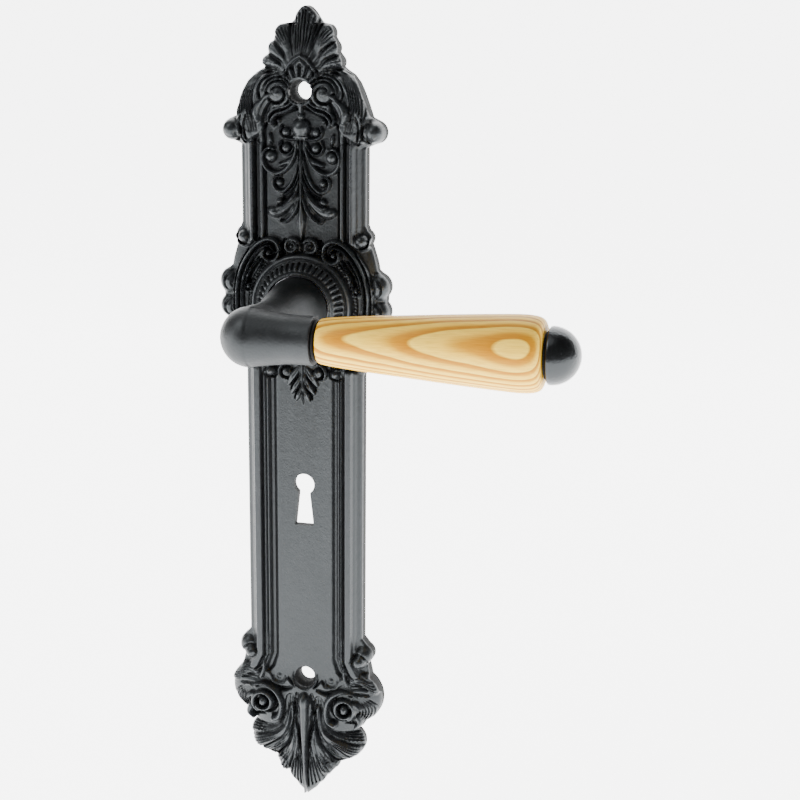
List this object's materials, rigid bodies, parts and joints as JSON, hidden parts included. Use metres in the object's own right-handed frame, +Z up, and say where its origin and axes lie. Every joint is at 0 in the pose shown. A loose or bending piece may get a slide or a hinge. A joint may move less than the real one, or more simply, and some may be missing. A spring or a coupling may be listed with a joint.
{
  "type": "door lever handle",
  "caption": "Sprung door lever with a turned wooden grip on a long ornate cast plate, with a spindle, a keyhole and open screw holes.",
  "frame": {"origin": "on the spindle axis, in the plane of the door's face that the plate's back rim rests on", "axes": "+X from the spindle to the free end of the grip, +Y into the door, +Z up along the plate"},
  "size_m": [0.1506, 0.1417, 0.319],
  "materials": {
    "black_iron": "matt black painted sand casting",
    "zinc_steel": "zinc plated",
    "spring_steel": "oil tempered",
    "brass": "turned",
    "ash_wood": "clear satin lacquer"
  },
  "bodies": {
    "plate": {"backplate": "black_iron", "guide_bush": "brass", "neck_washer": "zinc_steel", "backing_washer": "zinc_steel", "stop_pin_lower": "zinc_steel", "stop_pin_upper": "zinc_steel", "spring_anchor_pin": "zinc_steel", "return_spring": "spring_steel"},
    "lever": {"lever_neck": "black_iron", "spindle": "zinc_steel", "grub_screw": "zinc_steel", "drive_plate": "zinc_steel", "drive_pin": "zinc_steel", "retaining_ring": "spring_steel", "tang_stud": "zinc_steel", "grip_washer": "black_iron", "grip_dowel": "zinc_steel", "wood_grip": "ash_wood", "cap_washer": "black_iron", "end_knob": "black_iron"}
  },
  "joints": [
    {"name": "lever_turn", "type": "hinge", "parent": "plate", "child": "lever", "pos_m": [0, 0, 0], "axis": [0, 1, 0], "range_deg": [0, 40], "stiffness_Nm_per_rad": 0.13, "springref_deg": -60.16, "deforming": ["return_spring"]}
  ]
}
